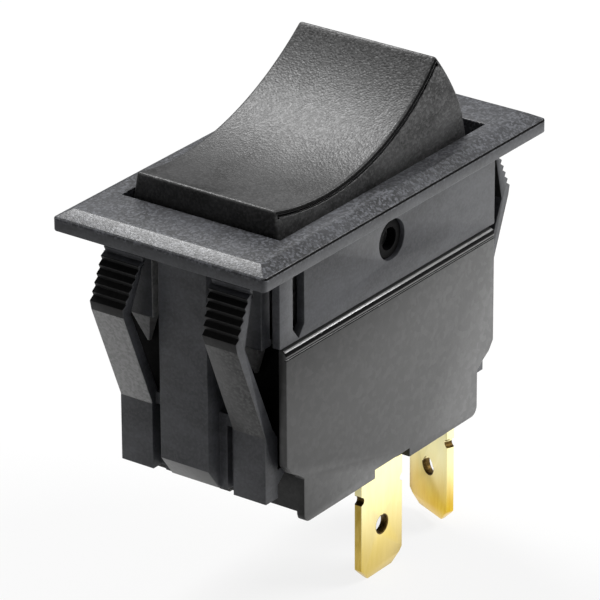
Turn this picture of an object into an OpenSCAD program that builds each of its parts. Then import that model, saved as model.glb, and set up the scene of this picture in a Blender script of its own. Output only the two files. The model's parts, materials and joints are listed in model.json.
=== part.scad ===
// Snap-in panel rocker switch: single pole, on-off, two blade terminals. Millimetres.
// Origin: centre of the bezel, on the plane where it meets the panel.
// X runs along the bezel, Y across it, +Z out of the panel. The -X end of the rocker is pressed.

/* [Bezel] */
// Length of the bezel
bezel_l = 43; // [40:0.5:52]
// Width of the bezel
bezel_w = 22.8; // [21:0.1:28]
// Height of the bezel's upright edge
bezel_edge_h = 1.2; // [0.8:0.1:2]
// Width of the bezel's sloped border
bevel_w = 1.3; // [0.6:0.1:1.8]
// Rise of the bezel's sloped border
bevel_h = 0.75; // [0.3:0.05:1]
// Radius of the bezel's corners
bezel_corner_r = 0.5; // [0.2:0.1:1.5]

/* [Frame] */
// Length of the body that passes through the panel
body_l = 32.9; // [28:0.1:40]
// Width of the frame that passes through the panel
body_w = 18.5; // [17.5:0.1:20.5]
// Depth of the frame's skirt below the bezel
skirt_h = 7.8; // [7.2:0.1:9]
// Thickness of the skirt's long walls
side_wall = 0.8; // [0.6:0.05:1.2]
// Thickness of the skirt's end wall at the raised end of the rocker
end_wall = 0.6; // [0.5:0.05:1]
// Offset of the rocker's pivot from the middle of the bezel
rocker_x = 0.3; // [0:0.05:0.6]
// Depth of the pivot below the panel plane
pivot_depth = 3.5; // [3:0.1:4]
// Diameter of the pivot holes
pivot_hole_d = 3.85; // [3:0.05:4.5]
// Width of the post on each end
post_w = 5.2; // [4:0.1:6]
// How far the post stands out from the frame's end
post_out = 1.6; // [0.8:0.05:1.8]
// Reach of the posts and the legs' roots below the panel plane
post_h = 22.95; // [22.4:0.05:24]

/* [Snap legs] */
// Width of a snap leg
leg_w = 3.5; // [3:0.1:4]
// Distance from the middle of the frame to a leg's inner side
leg_y = 4.4; // [4:0.1:4.6]
// How much wider a leg's head is at its top
head_flare = 0.7; // [0.1:0.05:1]
// Thickness of a leg's arm
leg_t = 1.2; // [0.8:0.1:1.4]
// How far a leg's tip stands out from the frame's end
leg_out = 4.5; // [3:0.1:5]
// Gap between the panel plane and the top of a leg
leg_top_gap = 2.05; // [2.05:0.05:3]
// Number of grip ridges on a leg
ridge_n = 6; // [4:1:8]
// Height of a grip ridge
ridge_pitch = 0.73; // [0.5:0.01:0.8]
// Depth of a grip ridge
ridge_d = 0.35; // [0.2:0.05:0.45]

/* [Rocker] */
// How far the rocker turns to each side of the middle
rocker_tilt = 14.45; // [12:0.05:15]
// Clearance at each side of the rocker
rocker_side_gap = 0.35; // [0.3:0.05:0.6]
// Clearance that the rocker's ends need in the opening
rocker_end_room = 1.45; // [1.4:0.05:2]
// Height of the rocker's ridges above its pivot
ridge_h = 11.07; // [10.5:0.01:12]
// Radius of the rocker's dished face
dish_r = 26; // [24:0.5:40]
// Radius of the rocker's rounded ends
rocker_end_r = 21; // [19:0.5:26]
// Height above the pivot where the rocker's ends are upright
rocker_end_h = 3; // [2.5:0.1:4]
// Wall of the rocker
rocker_wall = 1.2; // [1:0.1:1.5]
// How much narrower each side of the rocker is at its ridges
rocker_draft = 0.67; // [0.3:0.01:0.9]

/* [Case] */
// Depth of the case, from its rim to its underside
case_h = 17.66; // [17:0.01:20]
// Thickness of the case's long sides
case_side_wall = 0.85; // [0.7:0.05:1.1]
// How far the case's winged side stands out past the frame's side
case_step = 0.35; // [0.2:0.05:0.5]
// Gap between the frame's skirt and the case's rim
seam_gap = 0.24; // [0.15:0.01:0.3]
// Distance from the case's rim down to its shoulder
shoulder_drop = 12; // [11.5:0.1:12.4]
// Distance from the case's rim down to the floor inside
chamber_h = 11.3; // [11.2:0.05:11.5]
// Thickness of the wall between the two pole chambers
partition_t = 1.2; // [0.8:0.1:1.6]

/* [Contacts] */
// How far the pole in use stands in from the middle of its chamber
pole_in = 0.275; // [0:0.005:0.4]
// Height of the contact lever's pivot above the case's floor
lever_h = 3.94; // [3.6:0.01:4.2]
// Room between the end of the contact lever's arm and the chamber's end
lever_end_room = 2.69; // [1.8:0.01:3]
// Width of the contact lever
lever_w = 4; // [3:0.1:4.2]
// Angle at which each arm of the lever rises from its pivot
lever_rise = 10; // [9.5:0.1:11]
// How far the lever turns to each side of the middle
lever_tilt = 9; // [8:0.1:9.2]
// Distance from the middle of the contact to the end of the lever's arm
contact_inset = 1.66; // [1.5:0.01:2]
// Diameter of the contacts
contact_d = 2.8; // [2:0.1:3]
// Thickness of each contact's face
contact_t = 0.75; // [0.6:0.05:0.9]
// Diameter of the plunger
plunger_d = 3; // [2.6:0.1:3.2]

/* [Terminals] */
// Thickness of the terminal blades
blade_t = 0.8; // [0.6:0.05:0.9]
// Width of the terminal blades
blade_w = 6.35; // [4.8:0.05:6.5]
// Reach of the common terminal below the case
common_reach = 11; // [9:0.1:12]
// Reach of the load terminal below the case
load_reach = 10.5; // [9:0.1:12]
// Angle of the load terminal's blade from the case's width
load_turn = 23; // [0:1:30]
// Distance from the load blade's middle to the end of the case's base
load_inset = 1.5; // [1.5:0.05:2.5]
// Size of the chamfers at a blade's tip corners
blade_lead = 1.3; // [0.8:0.05:1.5]
// Diameter of the hole in each blade
blade_hole_d = 1.7; // [1.2:0.1:2.2]

/* [Hidden] */
$fn = 96;
eps = 0.01;
gap = 0.05;

body_half = body_l / 2;
bezel_top = bezel_edge_h + bevel_h;
open_half_l = body_half - end_wall - rocker_x;
open_half_w = body_w / 2 - side_wall;
frame_side = body_w / 2;
slot_in = open_half_w - 1.15;

case_top = -(skirt_h + seam_gap);
case_bottom = case_top - case_h;
case_side = frame_side + case_step;
case_inner = case_side - case_side_wall;
far_side = frame_side;
far_inner = far_side - case_side_wall;
shoulder_z = case_top - shoulder_drop;
floor_z = case_top - chamber_h;
wing_half = body_half - 0.46;
core_half = body_half - 1.56;
base_half = body_half - 3;
chamber_half = core_half - 1.5;
base_r = 0.9;
recess_h = 2;
recess_half = base_half - 0.7;
cell_half = 5.25;
cell_rib = 1;
end_notch_h = 1;
end_notch_l = 1.2;
side_notch_h = 0.85;

case_room = 0.15;
post_in = core_half + case_room;
post_face = body_half + post_out;
foot_x = 1.55;
foot_z = 2.15;
panel_out = body_half - 0.15;
panel_top = shoulder_z + 4.45;
slit_w = 1;
slit_d = 0.7;
slit_top = shoulder_z + 3.35;
root_out = body_half + 0.4;
root_bottom = -post_h;
arm_z = shoulder_z + 3.55;
lip_z = -6.84;
lip_h = 0.9;
tip_x = body_half + leg_out;
ridge_slope = 0.455;
head_t = 1.35;
window_half = 4.45;
end_skirt_z = -skirt_h - 0.6;
gusset_in = 4.8;
gusset_out = 6.85;
gusset_h = 2.95;
gusset_d = 1.1;

rocker_end = open_half_l - rocker_end_room;
rocker_half_w = open_half_w - rocker_side_gap;
ridge_x = rocker_end - rocker_end_r + sqrt(pow(rocker_end_r, 2) - pow(ridge_h - rocker_end_h, 2));
dish_z = ridge_h + sqrt(pow(dish_r, 2) - pow(ridge_x, 2));
draft_h = 5.5;
skirt_low = -0.3;
cheek_r = 3;
trunnion_d = pivot_hole_d - 0.1;
trunnion_recess = 0.35;
boss_r = plunger_d / 2 + 1.1;
boss_low = -6;
bore_d = plunger_d + 0.12;
bore_cover = 3.275;
bore_top = dish_z - dish_r - bore_cover;

lever_depth = -floor_z - lever_h;
lever_l = chamber_half - rocker_x - lever_end_room;
contact_x = lever_l - contact_inset;
load_x = base_half - load_inset;
pole_y = (partition_t / 2 + case_inner) / 2 - pole_in;
lever_t = 0.8;
rib_r = 0.8;
rib_half = 3.1;
lever_top = pivot_depth - lever_depth + lever_t;
tip_r = plunger_d / 2;
tip_h = lever_top + tip_r + 0.12;
plunger_top = -1.2;
stem_d = 1.6;
stem_h = 2.4;
spring_wire = 0.4;
spring_d = 2.2;
spring_turns = 6;
spring_sides = 8;
spring_steps = 12;

contact_gap = 0.04;
contact_face_z = -lever_depth - contact_t + contact_x * tan(lever_rise - lever_tilt) - contact_gap;
foot_top = contact_face_z - contact_t;
foot_w = 4.2;
bend_r = 0.4;
neck_w = 3.8;
common_neck_w = 4.4;
side_notch_l = 0.75;
blade_thin = 0.25;
blade_thin_h = 0.9;
blade_hole_up = 4.85;
blade_nick_up = 8.35;
blade_nick_r = 0.4;
common_y = case_inner - 0.9;
load_foot_l = (load_x - rocker_x - contact_x) / cos(load_turn);
ear_in = 2.3;
ear_out = 2.95;
cradle_half = 1.6;
cradle_t = 0.8;
ear_top = 1.5;
rivet_r = 0.8;

// ---- shared shapes

module both_ends() {
    for (m = [0, 1]) mirror([m, 0, 0]) children();
}

module both_sides() {
    for (m = [0, 1]) mirror([0, m, 0]) children();
}

// A block given by its lowest and highest corners
module block(low, high) {
    translate(low) cube(high - low);
}

// A profile drawn in X and Z, given a width along Y
module across(y0, y1) {
    translate([0, y1, 0]) rotate([90, 0, 0]) linear_extrude(y1 - y0) children();
}

// A profile drawn in Y and Z, given a length along X
module along(x0, x1) {
    translate([x0, 0, 0]) rotate([90, 0, 90]) linear_extrude(x1 - x0) children();
}

module rounded_rect(l, w, r) {
    square([l - 2 * r, w], center = true);
    square([l, w - 2 * r], center = true);
    for (x = [-1, 1], y = [-1, 1]) translate([x * (l / 2 - r), y * (w / 2 - r)]) circle(r);
}

// A pin along Y, centred on its own place
module cross_pin(r, l) {
    rotate([90, 0, 0]) cylinder(r = r, h = l, center = true);
}

// ---- bezel frame

module bevelled_profile(l) {
    polygon([[-l / 2, 0], [l / 2, 0], [l / 2, bezel_edge_h], [l / 2 - bevel_w, bezel_top],
             [-l / 2 + bevel_w, bezel_top], [-l / 2, bezel_edge_h]]);
}

module bezel_plate() {
    intersection() {
        across(-bezel_w / 2, bezel_w / 2) bevelled_profile(bezel_l);
        along(-bezel_l / 2, bezel_l / 2) bevelled_profile(bezel_w);
        linear_extrude(bezel_top) rounded_rect(bezel_l, bezel_w, bezel_corner_r);
    }
}

// Outline of one snap leg in X and Z: root block, sprung arm and ridged head
module leg_profile() {
    tip_z = lip_z + lip_h;
    top_z = -leg_top_gap;
    top_x = tip_x - (top_z - tip_z) * ridge_slope;
    run = norm([tip_x - root_out, lip_z - arm_z]);
    back_x = leg_t * (lip_z - arm_z) / run;
    back_z = leg_t * (tip_x - root_out) / run;
    ridges = [for (i = [0:ridge_n - 1], s = [0, 1])
        let (z = min(tip_z + (i + s / 2) * ridge_pitch, top_z - gap))
        if (s == 0 || z < top_z - gap)
        [tip_x - (z - tip_z) * ridge_slope - s * ridge_d, z]];
    polygon(concat(
        [[root_out, root_bottom], [root_out, arm_z], [tip_x - 0.2, lip_z]],
        ridges,
        [[top_x - ridge_d, top_z], [top_x - head_t / 2, top_z], [tip_x - head_t, lip_z],
         [root_out - back_x, arm_z + back_z], [post_in, arm_z - 0.6], [post_in, root_bottom]]));
}

// The head's inner side leans towards the post, so that the head is widest at its top
module snap_leg() {
    across(leg_y, leg_y + leg_w) leg_profile();
    intersection() {
        across(leg_y - head_flare, leg_y + 1) leg_profile();
        along(body_half, tip_x + 1)
            polygon([[leg_y + 1, lip_z], [leg_y, lip_z], [leg_y - head_flare, -leg_top_gap],
                     [leg_y - head_flare, 0], [leg_y + 1, 0]]);
    }
}

// Post, lower panel and the lip that holds the case by its shoulder
module end_yoke() {
    across(-post_w / 2, post_w / 2)
        polygon([[post_in, 0], [post_face, 0], [post_face, -post_h + foot_z],
                 [post_face - foot_x, -post_h], [post_in, -post_h]]);
    block([post_in, -leg_y - eps, root_bottom], [panel_out, leg_y + eps, panel_top]);
    across(-leg_y - leg_w, leg_y + leg_w)
        polygon([[post_in, shoulder_z - 0.15], [base_half + 0.25, shoulder_z - 0.15],
                 [base_half + 0.25, shoulder_z - 0.5], [post_in, shoulder_z - 1.6]]);
}

// Groove between each leg's root and the lower panel
module root_slit() {
    block([panel_out - slit_d, leg_y - slit_w, root_bottom - 1], [panel_out + 0.1, leg_y, slit_top]);
}

// Pointed wedge under the end wall, behind each leg
module gusset() {
    low = end_skirt_z - gusset_h;
    mid = (gusset_in + gusset_out) / 2;
    intersection() {
        across(gusset_in, gusset_out)
            polygon([[post_in, low], [body_half - gusset_d, low], [body_half, end_skirt_z + eps],
                     [post_in, end_skirt_z + eps]]);
        along(post_in, body_half)
            polygon([[gusset_in, end_skirt_z + eps], [mid - 0.1, low], [mid + 0.1, low],
                     [gusset_out, end_skirt_z + eps]]);
    }
}

// Skirt's end wall where it reaches down past the case's rim
module end_skirt() {
    block([post_in, window_half, end_skirt_z], [body_half, slot_in, -skirt_h + eps]);
}

// Pointed slot in a long wall, near one end
module wall_slot() {
    w = 1.65;
    translate([-body_half + 1.95, 0, 0])
        across(-frame_side - 1, -open_half_w + 1)
            polygon([[0, 0], [w, 0], [w, -skirt_h + 1.2], [w / 2, -skirt_h + 0.15], [0, -skirt_h + 1.2]]);
}

module bezel_frame() {
    color("#2b2d30")
    difference() {
        union() {
            bezel_plate();
            block([-body_half, -frame_side, -skirt_h], [body_half, frame_side, eps]);
            both_ends() {
                end_yoke();
                both_sides() {
                    snap_leg();
                    end_skirt();
                    gusset();
                }
            }
        }
        block([rocker_x - open_half_l, -open_half_w, -skirt_h - eps],
              [rocker_x + open_half_l, open_half_w, bezel_top + 1]);
        translate([rocker_x, 0, -pivot_depth]) cross_pin(pivot_hole_d / 2, body_w + 2);
        wall_slot();
        rotate([0, 0, 180]) wall_slot();
        both_ends() both_sides() {
            block([post_in - 3, slot_in, -skirt_h - 1], [body_half + 0.1, open_half_w, -2]);
            block([post_in - 1, post_w / 2, -skirt_h - 1], [body_half + 0.1, window_half, 0]);
            root_slit();
        }
    }
}

// ---- rocker

// Puts a shape drawn about the pivot, with the rocker level, where the pressed rocker holds it
module on_rocker() {
    translate([rocker_x, 0, -pivot_depth]) rotate([0, -rocker_tilt, 0]) children();
}

// The rocker's outer form, or its hollow when drawn smaller by the wall
module rocker_form(wall) {
    half_w = rocker_half_w - wall;
    difference() {
        intersection() {
            translate([rocker_end - rocker_end_r, 0, rocker_end_h])
                cross_pin(rocker_end_r - wall, 2 * half_w);
            translate([rocker_end_r - rocker_end, 0, rocker_end_h])
                cross_pin(rocker_end_r - wall, 2 * half_w);
            along(-rocker_end, rocker_end)
                polygon([[-half_w, skirt_low], [half_w, skirt_low], [half_w, draft_h],
                         [half_w - rocker_draft, ridge_h], [half_w - rocker_draft, ridge_h + 3],
                         [-half_w + rocker_draft, ridge_h + 3], [-half_w + rocker_draft, ridge_h],
                         [-half_w, draft_h]]);
        }
        translate([0, 0, dish_z]) cross_pin(dish_r + wall, 2 * rocker_half_w + 2);
    }
}

module trunnion() {
    l = body_w / 2 - trunnion_recess - rocker_half_w;
    translate([0, rocker_half_w - rocker_wall / 2 + (l + rocker_wall / 2) / 2, 0])
        cross_pin(trunnion_d / 2, l + rocker_wall / 2);
}

module rocker() {
    color("#232425")
    on_rocker() {
        difference() {
            union() {
                difference() {
                    rocker_form(0);
                    translate([0, 0, -eps]) rocker_form(rocker_wall);
                    block([-rocker_end, -rocker_half_w + rocker_wall, skirt_low - 1],
                          [rocker_end, rocker_half_w - rocker_wall, skirt_low + eps]);
                }
                both_sides() {
                    translate([0, rocker_half_w - rocker_wall / 2, 0]) cross_pin(cheek_r, rocker_wall);
                    trunnion();
                }
                intersection() {
                    for (s = [-1, 1])
                        translate([0, s * pole_y, boss_low]) cylinder(r = boss_r, h = ridge_h - boss_low);
                    translate([0, 0, dish_z])
                        difference() {
                            cross_pin(dish_z - boss_low + 1, 2 * rocker_half_w - 2 * rocker_wall + 0.4);
                            cross_pin(dish_r + rocker_wall / 2, 2 * rocker_half_w);
                        }
                }
            }
            for (s = [-1, 1])
                translate([0, s * pole_y, boss_low - 1]) cylinder(d = bore_d, h = bore_top - boss_low + 1);
            both_sides()
                translate([0, frame_side, 0]) cross_pin(trunnion_d / 2 - 0.8, 2.4);
        }
    }
}

// ---- case

module side_panel() {
    ledge = 0.6;
    across(-case_side, -case_inner)
        polygon([[-wing_half, case_top], [wing_half, case_top], [wing_half, shoulder_z + 0.9],
                 [wing_half - 0.7, shoulder_z], [core_half - 0.6, shoulder_z - ledge],
                 [base_half, shoulder_z - ledge - 0.6], [-base_half, shoulder_z - ledge - 0.6],
                 [-core_half + 0.6, shoulder_z - ledge], [-wing_half + 0.7, shoulder_z],
                 [-wing_half, shoulder_z + 0.9]]);
}

// Lower block of the case, with its bottom end edges rounded
module base_block() {
    top = shoulder_z + 0.5;
    across(-case_side, far_side) {
        translate([-base_half, case_bottom + base_r]) square([2 * base_half, top - case_bottom - base_r]);
        translate([-base_half + base_r, case_bottom]) square([2 * (base_half - base_r), base_r + eps]);
        for (s = [-1, 1]) translate([s * (base_half - base_r), case_bottom + base_r]) circle(base_r);
    }
}

// Rounds the rim's outer edge and scores the fine groove beneath it
module rim_trim() {
    r = 0.5;
    along(-body_half - 1, body_half + 1)
        difference() {
            translate([-case_side - 1, case_top - r]) square([1 + r, r + 1]);
            translate([-case_side + r, case_top - r]) circle(r);
            translate([-case_side + r, case_top - r - 1]) square([r, r + 2]);
        }
    block([-body_half - 1, -case_side - 1, case_top - 0.85], [body_half + 1, -case_side + 0.12, case_top - 0.7]);
}

// Puts a shape drawn along +X from the load blade's middle where that terminal stands
module on_load_terminal() {
    translate([load_x, -pole_y - (load_foot_l * sin(load_turn)), 0]) rotate([0, 0, 180 - load_turn]) children();
}

module on_common_terminal() {
    translate([rocker_x, -common_y, 0]) rotate([0, 0, 90]) children();
}

// Cells moulded into the underside, with ribs left standing between them
module underside_recess() {
    for (y = [[-case_inner, -partition_t / 2], [partition_t / 2, far_inner]]) {
        block([-cell_half, y[0], case_bottom - 1], [cell_half, y[1], case_bottom + recess_h]);
        both_ends()
            block([cell_half + cell_rib, y[0], case_bottom - 1], [recess_half, y[1], case_bottom + recess_h]);
    }
}

module case_body() {
    stop_l = 1.4;
    color("#33343a")
    difference() {
        union() {
            side_panel();
            block([-core_half, -case_side, shoulder_z], [core_half, far_side, case_top - 0.26]);
            base_block();
        }
        rim_trim();
        block([-chamber_half, -case_inner, floor_z], [chamber_half, -partition_t / 2, case_top + 1]);
        block([-chamber_half, partition_t / 2, floor_z], [chamber_half, far_inner, case_top + 1]);
        block([-chamber_half, -partition_t, case_top - 1.5], [chamber_half, partition_t, case_top + 1]);
        underside_recess();
        both_ends()
            block([base_half - end_notch_l, -case_inner, case_bottom - 1],
                  [base_half + 1, far_side + 1, case_bottom + end_notch_h]);
        block([rocker_x - common_neck_w / 2 - side_notch_l, -case_side - 1, case_bottom - 1],
              [rocker_x + common_neck_w / 2 + 0.15, -case_inner + 0.1, case_bottom + side_notch_h]);
        on_common_terminal() {
            block([-blade_t / 2 - 0.1, -common_neck_w / 2 - 0.1, case_bottom - 1],
                  [blade_t / 2 + 0.1, common_neck_w / 2 + 0.1, floor_z + 1]);
            block([0, -common_neck_w / 2 - 0.1, floor_z - bend_r - 0.05],
                  [blade_t / 2 + bend_r, common_neck_w / 2 + 0.1, floor_z + 1]);
        }
        on_load_terminal()
            block([-blade_t / 2 - 0.1, -neck_w / 2 - 0.1, case_bottom - 1],
                  [blade_t / 2 + 0.1, neck_w / 2 + 0.1, floor_z + 1]);
        translate([rocker_x, -pole_y, floor_z - 0.8]) cylinder(r = rivet_r + 0.9, h = 2);
    }
    color("#33343a") {
        on_load_terminal()
            difference() {
                block([blade_t, -foot_w / 2, floor_z - eps], [load_foot_l + 1.6, foot_w / 2, foot_top - blade_t]);
                translate([load_foot_l, 0, foot_top - blade_t - 1]) cylinder(r = 1.2, h = 2);
            }
        block([rocker_x - contact_x - stop_l, -pole_y - 1.6, floor_z - eps],
              [rocker_x - contact_x + stop_l, -pole_y + 1.6, -lever_depth + 0.05]);
    }
}

// ---- plunger and spring

module plunger() {
    color("#d8d2c0")
    on_rocker() translate([0, -pole_y, 0]) {
        translate([0, 0, tip_h]) sphere(r = tip_r);
        translate([0, 0, tip_h]) cylinder(r = tip_r, h = plunger_top - tip_h);
        translate([0, 0, plunger_top - eps]) cylinder(d = stem_d, h = stem_h);
    }
}

// Centre of the wire at a share f of the spring's length
function coil_point(f, z0, z1) =
    let (a = 360 * spring_turns * f)
    [spring_d / 2 * cos(a), spring_d / 2 * sin(a), z0 + (z1 - z0) * f];

module plunger_spring() {
    z0 = plunger_top + spring_wire / 2 + 0.03;
    z1 = bore_top - spring_wire / 2 - 0.03;
    rings = spring_turns * spring_steps;
    points = [for (i = [0:rings], j = [0:spring_sides - 1])
        let (a = 360 * spring_turns * i / rings, b = 360 * j / spring_sides, r = spring_wire / 2)
        coil_point(i / rings, z0, z1) + [r * cos(b) * cos(a), r * cos(b) * sin(a), r * sin(b)]];
    sides = [for (i = [0:rings - 1], j = [0:spring_sides - 1])
        let (k = (j + 1) % spring_sides)
        [i * spring_sides + j, i * spring_sides + k, (i + 1) * spring_sides + k, (i + 1) * spring_sides + j]];
    first_end = [for (j = [spring_sides - 1:-1:0]) j];
    last_end = [for (j = [0:spring_sides - 1]) rings * spring_sides + j];
    color("#b9bcc0")
    on_rocker() translate([0, -pole_y, 0])
        polyhedron(points, concat(sides, [first_end, last_end]));
}

// ---- contact lever

// Puts a shape drawn about the lever's pivot, with the lever level, where it rests closed
module on_lever() {
    translate([rocker_x, -pole_y, -lever_depth]) rotate([0, lever_tilt, 0]) children();
}

// Puts a shape drawn on the level arm onto the arm that rises towards +X
module on_arm() {
    rotate([0, -lever_rise, 0]) children();
}

module contact_lever() {
    color("#c79a4b")
    on_lever()
        difference() {
            union() {
                both_ends() on_arm() block([0, -lever_w / 2, 0], [lever_l, lever_w / 2, lever_t]);
                cross_pin(rib_r, 2 * rib_half);
            }
            on_arm() translate([contact_x, 0, -1]) cylinder(r = rivet_r, h = 3);
        }
}

module moving_contact() {
    color("#d9d9d6")
    on_lever() on_arm() translate([contact_x, 0, 0]) {
        translate([0, 0, -contact_t]) cylinder(d = contact_d, h = contact_t);
        translate([0, 0, -eps]) cylinder(r = rivet_r - gap, h = lever_t + 2 * eps);
        translate([0, 0, lever_t]) cylinder(r1 = rivet_r + 0.4, r2 = rivet_r, h = 0.35);
    }
}

// ---- cradle and its rivet

module lever_cradle() {
    base_z = floor_z + blade_t;
    color("#c79a4b")
    translate([rocker_x, -pole_y, 0])
        difference() {
            union() {
                block([-cradle_half, -ear_out, base_z], [cradle_half, ear_out, base_z + cradle_t]);
                both_sides()
                    block([-cradle_half, ear_in, base_z], [cradle_half, ear_out, -lever_depth + ear_top]);
            }
            translate([0, 0, -lever_depth]) cross_pin(rib_r + gap, 2 * rib_half);
            block([-rib_r - gap, -rib_half, -lever_depth], [rib_r + gap, rib_half, -lever_depth + ear_top + 1]);
            translate([0, 0, base_z - 1]) cylinder(r = rivet_r, h = 3);
        }
}

module cradle_rivet() {
    low = floor_z - 0.5;
    high = floor_z + blade_t + cradle_t;
    color("#b8863b")
    translate([rocker_x, -pole_y, 0]) {
        translate([0, 0, low]) cylinder(r = rivet_r + 0.6, h = floor_z - low);
        translate([0, 0, low + eps]) cylinder(r = rivet_r - gap, h = high - low);
        translate([0, 0, high]) cylinder(r1 = rivet_r + 0.5, r2 = rivet_r, h = 0.45);
    }
}

// ---- terminals

// A blade that stands on its tip: thickness along X, width along Y
module blade(neck, tip_z, top_z) {
    lead = blade_lead;
    shoulder_top = case_bottom - 0.3;
    half = blade_w / 2;
    difference() {
        intersection() {
            along(-blade_t / 2, blade_t / 2)
                polygon([[-half + lead, tip_z], [half - lead, tip_z], [half, tip_z + lead],
                         [half, shoulder_top], [neck / 2, shoulder_top], [neck / 2, top_z],
                         [-neck / 2, top_z], [-neck / 2, shoulder_top], [-half, shoulder_top],
                         [-half, tip_z + lead]]);
            across(-half, half)
                polygon([[-blade_t / 2 + blade_thin, tip_z], [blade_t / 2 - blade_thin, tip_z],
                         [blade_t / 2, tip_z + blade_thin_h], [blade_t / 2, top_z], [-blade_t / 2, top_z],
                         [-blade_t / 2, tip_z + blade_thin_h]]);
        }
        translate([0, 0, tip_z + blade_hole_up]) rotate([0, 90, 0]) cylinder(d = blade_hole_d, h = 2, center = true);
        both_sides()
            translate([0, half, tip_z + blade_nick_up])
                rotate([0, 90, 0]) cylinder(r = blade_nick_r, h = 2, center = true);
    }
}

// Foot that the blade is bent into at its top, with a round bend
module bent_foot(width, length, z) {
    r = bend_r;
    across(-width / 2, width / 2) {
        translate([-blade_t / 2, z - blade_t - r - eps]) square([blade_t, 2 * eps]);
        translate([blade_t / 2 + r - eps, z - blade_t]) square([length - blade_t / 2 - r + eps, blade_t]);
        translate([blade_t / 2 + r, z - blade_t - r])
            intersection() {
                difference() {
                    circle(r + blade_t);
                    circle(r);
                }
                translate([-r - blade_t - 1, 0]) square([r + blade_t + 1, r + blade_t + 1]);
            }
    }
}

module terminal_common() {
    foot_z = floor_z + blade_t;
    color("#d8c06a")
    difference() {
        on_common_terminal() {
            blade(common_neck_w, case_bottom - common_reach, foot_z - blade_t - 0.4);
            bent_foot(common_neck_w, common_y - pole_y + 2.5, foot_z);
        }
        translate([rocker_x, -pole_y, floor_z - 1]) cylinder(r = rivet_r, h = 3);
    }
}

module terminal_load() {
    color("#d8c06a")
    on_load_terminal()
        difference() {
            union() {
                blade(neck_w, case_bottom - load_reach, foot_top - blade_t - 0.4);
                bent_foot(foot_w, load_foot_l + 1.6, foot_top);
            }
            translate([load_foot_l, 0, foot_top - 2]) cylinder(r = rivet_r, h = 4);
        }
}

module fixed_contact() {
    color("#d9d9d6")
    on_load_terminal() translate([load_foot_l, 0, 0]) {
        translate([0, 0, foot_top]) cylinder(d = contact_d, h = contact_t);
        translate([0, 0, foot_top - blade_t - 0.4]) cylinder(r = rivet_r - gap, h = blade_t + 0.4 + eps);
        translate([0, 0, foot_top - blade_t - 0.4]) cylinder(r = rivet_r + 0.2, h = 0.4);
    }
}

bezel_frame();
rocker();
case_body();
plunger();
plunger_spring();
contact_lever();
moving_contact();
lever_cradle();
cradle_rivet();
terminal_common();
terminal_load();
fixed_contact();
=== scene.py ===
import json
import math

import bmesh
import bpy
from mathutils import Matrix, Vector

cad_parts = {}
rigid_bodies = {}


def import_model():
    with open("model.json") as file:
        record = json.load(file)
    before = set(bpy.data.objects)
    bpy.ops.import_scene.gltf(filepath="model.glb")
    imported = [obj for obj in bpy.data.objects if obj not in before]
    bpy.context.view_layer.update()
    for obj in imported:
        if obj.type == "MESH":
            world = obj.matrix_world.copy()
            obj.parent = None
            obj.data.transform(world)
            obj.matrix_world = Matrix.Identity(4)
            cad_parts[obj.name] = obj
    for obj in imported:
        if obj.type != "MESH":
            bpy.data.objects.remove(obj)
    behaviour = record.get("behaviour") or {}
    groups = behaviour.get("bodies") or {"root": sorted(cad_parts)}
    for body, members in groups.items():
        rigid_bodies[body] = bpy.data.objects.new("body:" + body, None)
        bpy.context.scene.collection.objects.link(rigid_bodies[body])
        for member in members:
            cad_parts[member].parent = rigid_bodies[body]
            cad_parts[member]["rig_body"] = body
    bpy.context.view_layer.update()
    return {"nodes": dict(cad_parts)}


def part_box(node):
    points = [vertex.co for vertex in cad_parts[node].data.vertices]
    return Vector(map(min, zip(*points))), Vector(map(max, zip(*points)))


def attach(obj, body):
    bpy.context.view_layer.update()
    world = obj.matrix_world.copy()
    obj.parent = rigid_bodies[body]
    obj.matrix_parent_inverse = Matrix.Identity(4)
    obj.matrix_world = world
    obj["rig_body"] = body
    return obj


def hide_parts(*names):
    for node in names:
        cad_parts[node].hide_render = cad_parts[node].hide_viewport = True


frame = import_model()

MM = 0.001
nodes = frame["nodes"]


# ---------------------------------------------------------------- places taken from the frame, in mm

def box_mm(node):
    low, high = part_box(node)
    return low / MM, high / MM


frame_high = box_mm("bezel_frame")[1]
bezel_half_l = frame_high.x
bezel_half_w = frame_high.y
bezel_top = frame_high.z
case_bottom = box_mm("case_body")[0].z
blade_tip = box_mm("terminal_common")[0].z


# ---------------------------------------------------------------- shader groups

def new_group(name, inputs, outputs):
    group = bpy.data.node_groups.new(name, "ShaderNodeTree")
    for label, kind, value in inputs:
        socket = group.interface.new_socket(name=label, in_out="INPUT", socket_type=kind)
        socket.default_value = value
    for label, kind in outputs:
        group.interface.new_socket(name=label, in_out="OUTPUT", socket_type=kind)
    start = group.nodes.new("NodeGroupInput")
    end = group.nodes.new("NodeGroupOutput")
    return group, start, end


def add(tree, kind, **settings):
    made = tree.nodes.new(kind)
    for key, value in settings.items():
        if key in made.inputs:
            made.inputs[key].default_value = value
        else:
            setattr(made, key, value)
    return made


def math_node(tree, operation, first, second=None, third=None):
    made = tree.nodes.new("ShaderNodeMath")
    made.operation = operation
    for place, value in enumerate((first, second, third)):
        if value is None:
            continue
        if isinstance(value, (int, float)):
            made.inputs[place].default_value = value
        else:
            tree.links.new(value, made.inputs[place])
    return made.outputs[0]


def blend_colour(tree, factor, first, second):
    made = tree.nodes.new("ShaderNodeMix")
    made.data_type = "RGBA"
    for place, value in ((0, factor), (6, first), (7, second)):
        if isinstance(value, (int, float, tuple)):
            made.inputs[place].default_value = value
        else:
            tree.links.new(value, made.inputs[place])
    return made.outputs[2]


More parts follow.
